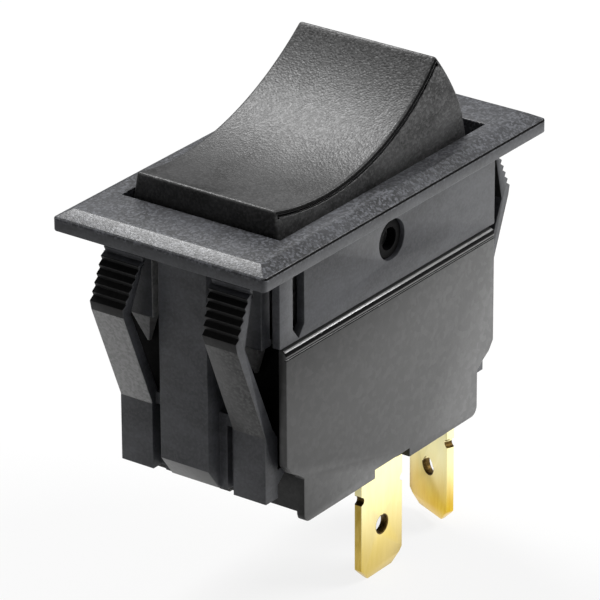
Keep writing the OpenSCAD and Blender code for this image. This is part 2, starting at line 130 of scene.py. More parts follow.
def ramp(tree, value, low, high, to_low=0.0, to_high=1.0):
    made = tree.nodes.new("ShaderNodeMapRange")
    made.interpolation_type = "SMOOTHSTEP"
    tree.links.new(value, made.inputs["Value"])
    made.inputs["From Min"].default_value = low
    made.inputs["From Max"].default_value = high
    made.inputs["To Min"].default_value = to_low
    made.inputs["To Max"].default_value = to_high
    return made.outputs["Result"]


def make_grain_group():
    """Fine spark-eroded grain of a mould: light and dark specks, and the height that makes them."""
    group, start, end = new_group(
        "mould_grain",
        [("Coordinates", "NodeSocketVector", (0, 0, 0)), ("Speck Size", "NodeSocketFloat", 0.2)],
        [("Speck", "NodeSocketFloat"), ("Patch", "NodeSocketFloat"), ("Height", "NodeSocketFloat")])
    scale = math_node(group, "DIVIDE", 1 / MM, start.outputs["Speck Size"])
    cells = add(group, "ShaderNodeTexVoronoi")
    group.links.new(start.outputs["Coordinates"], cells.inputs["Vector"])
    group.links.new(scale, cells.inputs["Scale"])
    cell_value = add(group, "ShaderNodeSeparateColor")
    group.links.new(cells.outputs["Color"], cell_value.inputs[0])
    fine = add(group, "ShaderNodeTexNoise", Detail=2.0, Roughness=0.7)
    group.links.new(start.outputs["Coordinates"], fine.inputs["Vector"])
    group.links.new(math_node(group, "MULTIPLY", scale, 0.7), fine.inputs["Scale"])
    cloud = add(group, "ShaderNodeTexNoise", Detail=3.0, Roughness=0.55)
    group.links.new(start.outputs["Coordinates"], cloud.inputs["Vector"])
    group.links.new(math_node(group, "MULTIPLY", scale, 0.045), cloud.inputs["Scale"])
    speck = math_node(group, "ADD", math_node(group, "MULTIPLY", fine.outputs["Fac"], 0.55),
                      math_node(group, "MULTIPLY", cell_value.outputs[0], 0.45))
    dome = math_node(group, "SUBTRACT", 0.6, cells.outputs["Distance"])
    group.links.new(ramp(group, speck, 0.28, 0.78), end.inputs["Speck"])
    group.links.new(ramp(group, cloud.outputs["Fac"], 0.32, 0.68), end.inputs["Patch"])
    group.links.new(math_node(group, "MULTIPLY_ADD", fine.outputs["Fac"], 1.2, dome), end.inputs["Height"])
    return group


def make_flow_group():
    """Faint streaks and clouds that molten plastic or rolled metal leaves along one axis."""
    group, start, end = new_group(
        "flow_marks",
        [("Coordinates", "NodeSocketVector", (0, 0, 0)), ("Stretch", "NodeSocketVector", (1, 1, 1)),
         ("Size", "NodeSocketFloat", 1.0)],
        [("Streak", "NodeSocketFloat"), ("Height", "NodeSocketFloat")])
    stretched = add(group, "ShaderNodeVectorMath", operation="MULTIPLY")
    group.links.new(start.outputs["Coordinates"], stretched.inputs[0])
    group.links.new(start.outputs["Stretch"], stretched.inputs[1])
    noise = add(group, "ShaderNodeTexNoise", Detail=4.0, Roughness=0.6, Distortion=0.3)
    group.links.new(stretched.outputs[0], noise.inputs["Vector"])
    group.links.new(math_node(group, "DIVIDE", 1 / MM, start.outputs["Size"]), noise.inputs["Scale"])
    group.links.new(ramp(group, noise.outputs["Fac"], 0.3, 0.7), end.inputs["Streak"])
    group.links.new(noise.outputs["Fac"], end.inputs["Height"])
    return group


def make_edge_group():
    """Where a corner is rounded: 1 at sharp edges, 0 on flats, broken up a little. The mask places painted
    edge highlights.
    """
    group, start, end = new_group(
        "rounded_edges",
        [("Coordinates", "NodeSocketVector", (0, 0, 0)), ("Radius", "NodeSocketFloat", 0.1)],
        [("Edge", "NodeSocketFloat"), ("Normal", "NodeSocketVector")])
    rounded = add(group, "ShaderNodeBevel", samples=6)
    group.links.new(math_node(group, "MULTIPLY", start.outputs["Radius"], MM), rounded.inputs["Radius"])
    flat = add(group, "ShaderNodeNewGeometry")
    alike = add(group, "ShaderNodeVectorMath", operation="DOT_PRODUCT")
    group.links.new(rounded.outputs["Normal"], alike.inputs[0])
    group.links.new(flat.outputs["Normal"], alike.inputs[1])
    broken = add(group, "ShaderNodeTexNoise", Scale=900.0, Detail=3.0)
    group.links.new(start.outputs["Coordinates"], broken.inputs["Vector"])
    turned = ramp(group, alike.outputs["Value"], 0.99, 0.8)
    group.links.new(math_node(group, "MULTIPLY", turned, ramp(group, broken.outputs["Fac"], 0.25, 0.6)),
                    end.inputs["Edge"])
    group.links.new(rounded.outputs["Normal"], end.inputs["Normal"])
    return group


GRAIN = make_grain_group()
FLOW = make_flow_group()
EDGE = make_edge_group()


def place_group(tree, group, coordinates, **values):
    made = tree.nodes.new("ShaderNodeGroup")
    made.node_tree = group
    tree.links.new(coordinates, made.inputs["Coordinates"])
    for label, value in values.items():
        made.inputs[label.replace("_", " ")].default_value = value
    return made


def new_material(name):
    material = bpy.data.materials.new(name)
    material.use_nodes = True
    tree = material.node_tree
    shader = tree.nodes["Principled BSDF"]
    coordinates = tree.nodes.new("ShaderNodeTexCoord").outputs["Object"]
    return material, tree, shader, coordinates


def axis_of(tree, coordinates, axis):
    parts = tree.nodes.new("ShaderNodeSeparateXYZ")
    tree.links.new(coordinates, parts.inputs[0])
    return parts.outputs[axis]


def mirrored_rays(tree, path):
    """1 for rays that a shiny or clear surface sends on, and 0 for the rest."""
    return math_node(tree, "MAXIMUM", path.outputs["Is Glossy Ray"], path.outputs["Is Transmission Ray"])


def set_bump(tree, shader, height, depth, under=None):
    bump = add(tree, "ShaderNodeBump", Strength=1.0, Distance=depth * MM)
    tree.links.new(height, bump.inputs["Height"])
    if under is not None:
        tree.links.new(under, bump.inputs["Normal"])
    tree.links.new(bump.outputs["Normal"], shader.inputs["Normal"])


# ---------------------------------------------------------------- plastics

EDGE_HIGHLIGHT_GREY = (0.25, 0.25, 0.26, 1)
SPECK_POWER = 1.7
CLOUD_SHARE = 0.25
GRAIN_EDGE = 0.3
GRAIN_LEFT = 0.15
PLAIN_TONE = 0.38
PLAIN_ROUGH = 0.12
SIDE_LIGHT_FROM = -9.0
SIDE_LIGHT_TO = 7.0
SIDE_LIGHT_SPECK = 0.35
SPECK_POLISH = -0.06
EDGE_POLISH = -0.1
ROUGH_LIFT = 0.03


def plastic(name, dark, light, rough, speck_size, speck_depth, edge_light, edge_radius,
            grain_from=None, specular=0.5, side_light_colour=None, shade_heights=None):
    """Black moulded plastic. Grain covers it above grain_from, in mm, and below that it has an even
    tone and is a little rougher. side_light_colour is painted light: a colour that it pales to across the
    width, towards +Y. shade_heights is two heights in mm of painted shade, darker towards the bottom: the
    grain's colour is half gone at the lower one and whole at the upper."""
    material, tree, shader, coordinates = new_material(name)
    shader.inputs["Specular IOR Level"].default_value = specular
    grain = place_group(tree, GRAIN, coordinates, Speck_Size=speck_size)
    flow = place_group(tree, FLOW, coordinates, Stretch=(1.0, 1.0, 2.2), Size=6.0)
    edge = place_group(tree, EDGE, coordinates, Radius=edge_radius)
    speck = grain.outputs["Speck"]
    height = grain.outputs["Height"]
    matt_below = 0
    if grain_from is not None:
        up = axis_of(tree, coordinates, "Z")
        grained = ramp(tree, up, (grain_from - GRAIN_EDGE) * MM, grain_from * MM, GRAIN_LEFT, 1.0)
        even = math_node(tree, "MULTIPLY_ADD", grained, -PLAIN_TONE, PLAIN_TONE)
        speck = math_node(tree, "MULTIPLY_ADD", speck, grained, even)
        height = math_node(tree, "MULTIPLY", height, grained)
        matt_below = math_node(tree, "MULTIPLY_ADD", grained, -PLAIN_ROUGH, PLAIN_ROUGH)
    shown = speck
    if shade_heights is not None:
        up = axis_of(tree, coordinates, "Z")
        # painted shade: the grain's light specks are dimmed towards the bottom
        lower_shade = ramp(tree, up, shade_heights[0] * MM, shade_heights[1] * MM, 0.5, 1.0)
        shown = math_node(tree, "MULTIPLY", speck, lower_shade)
    toned = blend_colour(tree, math_node(tree, "POWER", shown, SPECK_POWER), dark, light)
    cloud = math_node(tree, "MULTIPLY", flow.outputs["Streak"], CLOUD_SHARE)
    clouded = blend_colour(tree, cloud, toned, light)
    if side_light_colour is not None:
        # painted light: the colour pales towards +Y as if lit from that side, with the dark specks kept
        lit_across = ramp(tree, axis_of(tree, coordinates, "Y"), SIDE_LIGHT_FROM * MM, SIDE_LIGHT_TO * MM)
        clouded = blend_colour(tree, lit_across, clouded, side_light_colour)
        clouded = blend_colour(tree, math_node(tree, "MULTIPLY", speck, SIDE_LIGHT_SPECK), clouded, dark)
    # painted highlight: sharp edges are lightened towards grey by edge_light
    edge_glint = math_node(tree, "MULTIPLY", edge.outputs["Edge"], edge_light)
    edge_lit = blend_colour(tree, edge_glint, clouded, EDGE_HIGHLIGHT_GREY)
    tree.links.new(edge_lit, shader.inputs["Base Color"])
    by_speck = math_node(tree, "MULTIPLY", speck, SPECK_POLISH)
    by_edge = math_node(tree, "MULTIPLY_ADD", edge.outputs["Edge"], EDGE_POLISH, rough + ROUGH_LIFT)
    rough_here = math_node(tree, "ADD", by_speck, by_edge)
    rough_here = math_node(tree, "ADD", rough_here, matt_below)
    tree.links.new(rough_here, shader.inputs["Roughness"])
    set_bump(tree, shader, height, speck_depth, edge.outputs["Normal"])
    return material


# the rocker's plastic is painted darker towards its bottom, a painted shade near the bezel
ROCKER_PLASTIC = plastic("rocker_plastic", (0.002, 0.002, 0.002, 1), (0.125, 0.125, 0.126, 1), 0.41,
                         0.21, 0.018, 0.06, 0.12, specular=0.38, shade_heights=(2.5, 11.5))
BEZEL_PLASTIC = plastic("bezel_plastic", (0.004, 0.0045, 0.006, 1), (0.116, 0.120, 0.134, 1), 0.38,
                        0.21, 0.009, 0.05, 0.08, grain_from=1.15, specular=0.45)
# painted shade: a near-black plastic for the ridged leg heads and the case's low end faces
SHADOWED_PLASTIC = plastic("shadowed_plastic", (0.002, 0.002, 0.002, 1), (0.005, 0.005, 0.005, 1), 0.50,
                        0.3, 0.004, 0.15, 0.05, specular=0.40)
SHADE_PLASTIC = plastic("shade_plastic", (0.001, 0.001, 0.001, 1), (0.002, 0.002, 0.002, 1), 0.60,
                        0.3, 0.002, 0.02, 0.04, specular=0.06)
# painted light: a lit copy of the frame's plastic, paler towards +Y
SIDE_LIT_PLASTIC = plastic("side_lit_plastic", (0.010, 0.010, 0.010, 1), (0.080, 0.080, 0.080, 1), 0.42,
                      0.25, 0.008, 0.06, 0.08, specular=0.45, side_light_colour=(0.24, 0.24, 0.24, 1))
# painted highlight: a light grey for the top of the case's rim
RIM_HIGHLIGHT_PLASTIC = plastic("rim_highlight_plastic", (0.26, 0.26, 0.26, 1), (0.34, 0.34, 0.34, 1), 0.22,
                      0.5, 0.002, 0.10, 0.10, specular=0.6)
CASE_PLASTIC = plastic("case_plastic", (0.033, 0.033, 0.0325, 1), (0.044, 0.044, 0.0435, 1), 0.36,
                       0.5, 0.002, 0.06, 0.10, specular=0.45)


def nylon():
    """Milky natural nylon of the sprung plunger."""
    material, tree, shader, coordinates = new_material("plunger_plastic")
    shader.inputs["Subsurface Weight"].default_value = 0.1
    shader.inputs["Subsurface Scale"].default_value = 0.6 * MM
    flow = place_group(tree, FLOW, coordinates, Stretch=(1.0, 1.0, 0.4), Size=1.2)
    tone = blend_colour(tree, flow.outputs["Streak"], (0.62, 0.57, 0.44, 1), (0.74, 0.70, 0.58, 1))
    tree.links.new(tone, shader.inputs["Base Color"])
    tree.links.new(ramp(tree, flow.outputs["Streak"], 0, 1, 0.32, 0.45), shader.inputs["Roughness"])
    set_bump(tree, shader, flow.outputs["Height"], 0.01)
    return material


# ---------------------------------------------------------------- metals

ROLL_DEPTH = 0.006
# cream colours of the blades' painted highlight near the case
CREAM_DEEP = (0.79, 0.72, 0.37, 1)
CREAM_PALE = (0.83, 0.77, 0.43, 1)
EDGE_GLINT_CREAM = (0.95, 0.88, 0.66, 1)


def metal(name, base, pale, rough, stretch, size=0.4, dull=0.06, edge_radius=0.06):
    """Rolled, stamped metal with faint streaks along stretch's long axis."""
    material, tree, shader, coordinates = new_material(name)
    shader.inputs["Metallic"].default_value = 1.0
    flow = place_group(tree, FLOW, coordinates, Stretch=stretch, Size=size)
    edge = place_group(tree, EDGE, coordinates, Radius=edge_radius)
    tone = blend_colour(tree, flow.outputs["Streak"], base, pale)
    # painted highlight: edges are lightened towards the pale colour
    bright = blend_colour(tree, math_node(tree, "MULTIPLY", edge.outputs["Edge"], 0.3), tone, pale)
    tree.links.new(bright, shader.inputs["Base Color"])
    tree.links.new(ramp(tree, flow.outputs["Streak"], 0, 1, rough, rough + dull), shader.inputs["Roughness"])
    set_bump(tree, shader, flow.outputs["Height"], ROLL_DEPTH, edge.outputs["Normal"])
    return material


def blade_brass(name, gold_to, cream_from, deep, pale):
    """Brass with a painted highlight: pale cream near the case that fades to gold near the tip.
    gold_to and cream_from are heights over the tip in mm."""
    material, tree, shader, coordinates = new_material(name)
    shader.inputs["Metallic"].default_value = 1.0
    flow = place_group(tree, FLOW, coordinates, Stretch=(1.0, 1.0, 0.2), Size=0.5)
    edge = place_group(tree, EDGE, coordinates, Radius=0.07)
    # painted highlight: pale cream above cream_from, gold below gold_to
    up = ramp(tree, axis_of(tree, coordinates, "Z"), (blade_tip + gold_to) * MM,
              (blade_tip + cream_from) * MM)
    gold = blend_colour(tree, flow.outputs["Streak"], deep, pale)
    cream = blend_colour(tree, flow.outputs["Streak"], CREAM_DEEP, CREAM_PALE)
    tone = blend_colour(tree, up, gold, cream)
    # painted highlight: edges lightened towards a pale glint
    bright = blend_colour(tree, math_node(tree, "MULTIPLY", edge.outputs["Edge"], 0.35), tone, EDGE_GLINT_CREAM)
    tree.links.new(bright, shader.inputs["Base Color"])
    tree.links.new(ramp(tree, flow.outputs["Streak"], 0, 1, 0.30, 0.38), shader.inputs["Roughness"])
    set_bump(tree, shader, flow.outputs["Height"], ROLL_DEPTH, edge.outputs["Normal"])
    return material


PLUNGER_NYLON = nylon()
BLADE_BRASS = blade_brass("blade_brass", 0.5, 11.0, (0.52, 0.38, 0.075, 1), (0.57, 0.43, 0.11, 1))
# a copy of the blade brass for the rear blade: its painted highlight reaches lower and its gold is darker
# towards the tip, a painted shade
REAR_LIT_BRASS = blade_brass("rear_lit_blade_brass", 1.8, 8.0, (0.47, 0.29, 0.016, 1), (0.55, 0.38, 0.038, 1))
# painted shade: darker brass for the blades' edges that face −X
EDGE_SHADE_BRASS = metal("edge_shade_brass", (0.42, 0.29, 0.05, 1), (0.58, 0.42, 0.10, 1), 0.34, (1.0, 1.0, 0.3))
# painted shade: near-black brass for the walls of the blades' nicks and holes
HOLE_SHADE_BRASS = metal("hole_shade_brass", (0.05, 0.03, 0.008, 1), (0.16, 0.10, 0.03, 1), 0.45, (1.0, 1.0, 1.0),
                    edge_radius=0.02)
LEVER_BRASS = metal("lever_brass", (0.60, 0.42, 0.18, 1), (0.74, 0.56, 0.28, 1), 0.28, (0.25, 1.0, 1.0))
RIVET_BRASS = metal("rivet_brass", (0.55, 0.38, 0.16, 1), (0.70, 0.52, 0.26, 1), 0.34, (1.0, 1.0, 1.0))
CONTACT_SILVER = metal("contact_silver", (0.74, 0.74, 0.73, 1), (0.88, 0.88, 0.87, 1), 0.24, (1.0, 1.0, 1.0))
SPRING_STEEL = metal("spring_steel", (0.42, 0.43, 0.45, 1), (0.62, 0.63, 0.65, 1), 0.22, (1.0, 1.0, 0.3))


# ---------------------------------------------------------------- modelling helpers

def deselect_all():
    bpy.ops.object.select_all(action="DESELECT")


def use(piece):
    deselect_all()
    piece.select_set(True)
    bpy.context.view_layer.objects.active = piece


def edit_all(piece):
    """Opens a piece in edit mode with all of it selected."""
    use(piece)
    bpy.ops.object.mode_set(mode="EDIT")
    bpy.ops.mesh.select_all(action="SELECT")


def merged_copy(node, name):
    """A closed, merged copy of a CAD node, worked on in millimetres."""
    use(nodes[node])
    bpy.ops.object.duplicate()
    piece = bpy.context.active_object
    piece.name = name
    piece.data.name = name
    piece.parent = None
    for key in list(piece.keys()):
        del piece[key]
    piece.data.materials.clear()
    bpy.ops.mesh.customdata_custom_splitnormals_clear()
    piece.scale = (1 / MM, 1 / MM, 1 / MM)
    bpy.ops.object.transform_apply(location=False, rotation=False, scale=True)
    edit_all(piece)
    bpy.ops.mesh.remove_doubles(threshold=0.02)
    bpy.ops.mesh.dissolve_limited(angle_limit=math.radians(0.6))
    bpy.ops.object.mode_set(mode="OBJECT")
    return piece


def start_edit(piece):
    use(piece)
    bpy.ops.object.mode_set(mode="EDIT")
    bpy.ops.mesh.select_mode(type="EDGE")
    return bmesh.from_edit_mesh(piece.data)


def end_edit():
    bpy.ops.object.mode_set(mode="OBJECT")


CORNER_ANGLE = math.radians(18)


def select_edges(piece, wanted):
    """Selects, in edit mode, the corners that wanted(edge, middle) picks by their place."""
    mesh = bmesh.from_edit_mesh(piece.data)
    bpy.ops.mesh.select_all(action="DESELECT")
    for edge in mesh.edges:
        if len(edge.link_faces) == 2 and edge.calc_face_angle() > CORNER_ANGLE:
            if wanted(edge, (edge.verts[0].co + edge.verts[1].co) / 2):
                edge.select_set(True)
    mesh.select_flush_mode()
    bmesh.update_edit_mesh(piece.data)


def soften(piece, width, wanted, segments=2):
    """Rounds the picked corners by width, in mm."""
    start_edit(piece)
    select_edges(piece, wanted)
    bpy.ops.mesh.bevel(offset=width, offset_type="OFFSET", segments=segments, profile=0.5,
                       affect="EDGES", clamp_overlap=False)
    end_edit()


PIN_SIDES = 64


def pin(name, centre, radius, length, axis="Y"):
    """A round bar along Y or Z, to be joined on or cut away."""
    deselect_all()
    turn = {"Y": (math.pi / 2, 0, 0), "Z": (0, 0, 0)}[axis]
    bpy.ops.mesh.primitive_cylinder_add(vertices=PIN_SIDES, radius=radius, depth=length, location=centre,
                                        rotation=turn)
    piece = bpy.context.active_object
    piece.name = name
    bpy.ops.object.transform_apply(location=True, rotation=True, scale=True)
    return piece


def combine(piece, tool, operation="DIFFERENCE"):
    """Cuts tool away from piece or joins it on, and removes tool."""
    use(piece)
    change = piece.modifiers.new("combine", "BOOLEAN")
    change.operation = operation
    change.solver = "EXACT"
    change.object = tool
    bpy.ops.object.modifier_apply(modifier=change.name)
    bpy.data.objects.remove(tool)


def traced_prism(name, start, path, half_w):
    """An outline in X and Z of straight runs and arcs, drawn by a moving point, made a solid along Y."""
    deselect_all()
    bpy.ops.mesh.primitive_plane_add(size=1, location=(0, 0, 0))
    piece = bpy.context.active_object
    piece.name = name
    bpy.ops.object.mode_set(mode="EDIT")
    bpy.ops.mesh.select_mode(type="VERT")
    bpy.ops.mesh.merge(type="CENTER")
    bpy.ops.transform.translate(value=(start[0], -half_w, start[1]))
    at = Vector((start[0], -half_w, start[1]))
    for kind, *values in path:
        if kind == "line":
            to = Vector((values[0], -half_w, values[1]))
            bpy.ops.mesh.extrude_region_move(TRANSFORM_OT_translate={"value": to - at})
            at = to
        else:
            centre, angle, steps = values
            pivot = Vector((centre[0], -half_w, centre[1]))
            bpy.ops.mesh.spin(steps=steps, angle=-angle, center=pivot, axis=(0, 1, 0), dupli=False)
            at = pivot + Matrix.Rotation(angle, 3, "Y") @ (at - pivot)
    bpy.ops.mesh.select_all(action="SELECT")
    bpy.ops.mesh.remove_doubles(threshold=0.001)
    bpy.ops.mesh.edge_face_add()
    bpy.ops.mesh.extrude_region_move(TRANSFORM_OT_translate={"value": (0, 2 * half_w, 0)})
    bpy.ops.mesh.select_all(action="SELECT")
    bpy.ops.mesh.normals_make_consistent(inside=False)
    bpy.ops.object.mode_set(mode="OBJECT")
    return piece


def paint_all(piece, material):
    """One finish over the whole piece, before some faces get their own."""
    piece.data.materials.clear()
    piece.data.materials.append(material)


def paint_faces(piece, material, wanted):
    """Gives the faces that wanted picks, of a piece still in mm, a finish of their own."""
    finishes = piece.data.materials
    place = finishes.find(material.name)
    if place < 0:
        finishes.append(material)
        place = len(finishes) - 1
    for face in piece.data.polygons:
        if wanted(face.center, face.normal):
            face.material_index = place


SMOOTH_BELOW = math.radians(30)


def finish_piece(piece, node):
    """Back to metres, smooth shaded below an angle, riding and standing for its CAD node."""
    use(piece)
    piece.scale = (MM, MM, MM)
    bpy.ops.object.transform_apply(location=False, rotation=False, scale=True)
    bpy.ops.object.shade_smooth_by_angle(angle=SMOOTH_BELOW)
    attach(piece, nodes[node]["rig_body"])
    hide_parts(node)


def carry_over(node, material):
    """A CAD node that keeps its own mesh gets its finish."""
    part = nodes[node]
    for place in part.material_slots:
        place.material = material
    if not part.material_slots:
        part.data.materials.append(material)


# ---------------------------------------------------------------- rocker

ROCKER_HALF_L = 14.1
ROCKER_HALF_W = 8.1
ROCKER_WALL = 1.2
RIDGE_X = 12.4875
RIDGE_Z = 11.07
END_R = 21.0
END_Z = 3.0
DISH_R = 26.0
SKIRT_LOW = -0.3
DRAFT_FROM = 5.5
DRAFT = 0.67
PIVOT = (0.3, 0.0, -3.5)
TILT = 14.45
POLE_Y = 4.4
SLEEVE_R = 2.6
BORE_R = 1.56
BORE_TOP = 4.6
CHEEK_R = 3.0
TRUNNION_R = 1.875
TRUNNION_OUT = 8.9
SHADOW_LINE = 0.28
SHADOW_INSET = 0.03
SHADOW_SHORT = 0.1
SHADOW_LOW = 2
END_STEPS = 14
DISH_STEPS = 40


def rocker_form(name, wall):
    """Dished on top and round at both ends, with sides that lean in above the skirt."""
    end_r = END_R - wall
    dish_r = DISH_R + wall
    half_w = ROCKER_HALF_W - wall
    dish_z = RIDGE_Z + math.sqrt(DISH_R ** 2 - RIDGE_X ** 2)
    end_x = ROCKER_HALF_L - END_R
    spread = dish_z - END_Z
    apart = math.hypot(end_x, spread)
    lean = math.atan2(spread, -end_x)
    corner = math.acos((end_r ** 2 + apart ** 2 - dish_r ** 2) / (2 * end_r * apart))
    top = lean - corner
    low = math.asin((SKIRT_LOW - END_Z) / end_r)
    ridge_x = end_x + end_r * math.cos(top)
    half_dish = math.asin(ridge_x / dish_r)
    foot_x = end_x + end_r * math.cos(low)
    form = traced_prism(name, (-foot_x, SKIRT_LOW), [
        ("line", foot_x, SKIRT_LOW),
        ("arc", (end_x, END_Z), low - top, END_STEPS),
        ("arc", (0, dish_z), 2 * half_dish, DISH_STEPS),
        ("arc", (-end_x, END_Z), low - top, END_STEPS)], half_w)
    start_edit(form)
    bpy.ops.mesh.select_all(action="SELECT")
    bpy.ops.mesh.bisect(plane_co=(0, 0, DRAFT_FROM), plane_no=(0, 0, 1))
    bpy.ops.mesh.select_mode(type="VERT")
    bpy.ops.mesh.select_all(action="DESELECT")
    lean_in = DRAFT / (RIDGE_Z - DRAFT_FROM)
    mesh = bmesh.from_edit_mesh(form.data)
    for vert in mesh.verts:
        if vert.co.z > DRAFT_FROM:
            vert.co.y -= math.copysign((vert.co.z - DRAFT_FROM) * lean_in, vert.co.y)
    bmesh.update_edit_mesh(form.data)
    end_edit()
    return form


def cut_shadow_line(cap, side):
    """A fine groove along the dish on one side of the rocker, just inside its soft corner."""
    mesh = start_edit(cap)
    bpy.ops.mesh.select_mode(type="FACE")
    bpy.ops.mesh.select_all(action="DESELECT")
    for face in mesh.faces:
        if face.normal.y * side > 0.97 and face.calc_area() > 5:
            face.select_set(True)
    bmesh.update_edit_mesh(cap.data)
    bpy.ops.mesh.inset(thickness=SHADOW_INSET, depth=0)
    bpy.ops.mesh.inset(thickness=SHADOW_LINE, depth=0)
    mesh = bmesh.from_edit_mesh(cap.data)
    inner = [face for face in mesh.faces if face.select]
    ring = {other for face in inner for edge in face.edges for other in edge.link_faces
            if not other.select}
    for face in inner:
        face.select_set(False)
    for face in ring:
        middle = face.calc_center_median()
        face.select_set(abs(middle.x) < RIDGE_X - SHADOW_SHORT and middle.z > SHADOW_LOW)
    bmesh.update_edit_mesh(cap.data)
    bpy.ops.mesh.extrude_region_move(TRANSFORM_OT_translate={"value": (0, -side * SHADOW_LINE, 0)})
    cap.active_material_index = 1
    bpy.ops.object.material_slot_assign()
    bpy.ops.mesh.select_mode(type="VERT")
    end_edit()


def rocker_cap():
    """The rocker: soft-edged cap, hollow below, with two plunger sleeves and two trunnions."""
    cap = rocker_form("rocker_cap", 0)
    soften(cap, 0.3, lambda edge, middle: middle.z > SKIRT_LOW + 0.1, segments=4)
    cap.data.materials.append(ROCKER_PLASTIC)
    cap.data.materials.append(SHADE_PLASTIC)
    cut_shadow_line(cap, 1)
    cut_shadow_line(cap, -1)
    hollow = rocker_form("rocker_hollow", ROCKER_WALL)
    hollow.location = (0, 0, -0.02)
    combine(cap, hollow)
    for side in (-1, 1):
        sleeve = pin("plunger_sleeve", (0, side * POLE_Y, 0.25), SLEEVE_R, 12.5, axis="Z")
        combine(cap, sleeve, "UNION")
        cheek_y = side * (ROCKER_HALF_W - ROCKER_WALL / 2)
        combine(cap, pin("cheek", (0, cheek_y, 0), CHEEK_R, ROCKER_WALL - 0.3), "UNION")
        trunnion_l = TRUNNION_OUT - ROCKER_HALF_W + ROCKER_WALL / 2
        trunnion = pin("trunnion", (0, side * (TRUNNION_OUT - trunnion_l / 2), 0), TRUNNION_R, trunnion_l)
        soften(trunnion, 0.15, lambda edge, middle: abs(middle.y) > TRUNNION_OUT - 0.01)
        combine(cap, trunnion, "UNION")
        combine(cap, pin("trunnion_core", (0, side * TRUNNION_OUT, 0), TRUNNION_R - 0.8, 1.9))
        combine(cap, pin("sleeve_bore", (0, side * POLE_Y, -2), BORE_R, 2 * (BORE_TOP + 2), axis="Z"))

    def dark_on_cap(centre, normal):
        along_dish = abs(centre.x) < RIDGE_X - SHADOW_SHORT and centre.z > SHADOW_LOW
        on_corner = 0.6 < abs(normal.y) < 0.97 and normal.z > 0.05 and abs(centre.y) > 6
        on_trunnion = abs(centre.y) > ROCKER_HALF_W + 0.1
        return on_trunnion or on_corner and along_dish

    paint_faces(cap, SHADE_PLASTIC, dark_on_cap)
    edit_all(cap)
    bpy.ops.transform.rotate(value=math.radians(TILT), orient_axis="Y", center_override=(0, 0, 0))
    bpy.ops.transform.translate(value=PIVOT)
    end_edit()
    return cap


# ---------------------------------------------------------------- bezel, frame, case and blades

BODY_HALF_L = 16.45
BODY_HALF_W = 9.25
OPENING_X = 0.3
OPENING_HALF_L = 15.55
OPENING_HALF_W = 8.45
RIDGE_TIP = (20.85, -5.94)
RIDGE_PITCH = 0.73
RIDGE_SLOPE = 0.455
RIDGE_DEPTH = 0.35
RIDGES_BELOW = 6
HEAD_LOW = -2.35
HEAD_IN = 3.72
HEAD_OUT = 7.88
RIM_REACH = 1.4
HOLE_UP = 4.85
HOLE_REACH = 1.1
HOLE_SINK = 0.14
NICK_UP = 8.35
NICK_REACH = 0.5
SOFT_FRAME = 0.07
SOFT_OPENING = 0.16
SOFT_RIM = 0.11
SOFT_CASE = 0.1
SOFT_BLADE = 0.07


def ridge_front(z):
    return RIDGE_TIP[0] - (z - RIDGE_TIP[1]) * RIDGE_SLOPE


def head_top(end, side):
    """The last ridge of a snap leg, thin and close under the bezel."""
    low = HEAD_LOW
    valley = RIDGE_TIP[1] + (RIDGES_BELOW - 0.5) * RIDGE_PITCH
    tip = RIDGE_TIP[1] + RIDGES_BELOW * RIDGE_PITCH
    top = tip + RIDGE_PITCH / 2
    path = [(ridge_front(low) - RIDGE_DEPTH, low), (ridge_front(valley) - RIDGE_DEPTH, valley),
            (ridge_front(tip), tip), (ridge_front(top) - RIDGE_DEPTH, top),
            (ridge_front(top) - RIDGE_DEPTH - 0.16, top)]
    runs = [("line", *point) for point in path]
    piece = traced_prism("head_top", (ridge_front(low) - 0.75, low), runs, (HEAD_OUT - HEAD_IN) / 2)
    edit_all(piece)
    if end < 0:
        bpy.ops.transform.resize(value=(-1, 1, 1), center_override=(0, 0, 0))
        bpy.ops.mesh.flip_normals()
    bpy.ops.transform.translate(value=(0, side * (HEAD_IN + HEAD_OUT) / 2, 0))
    end_edit()
    return piece


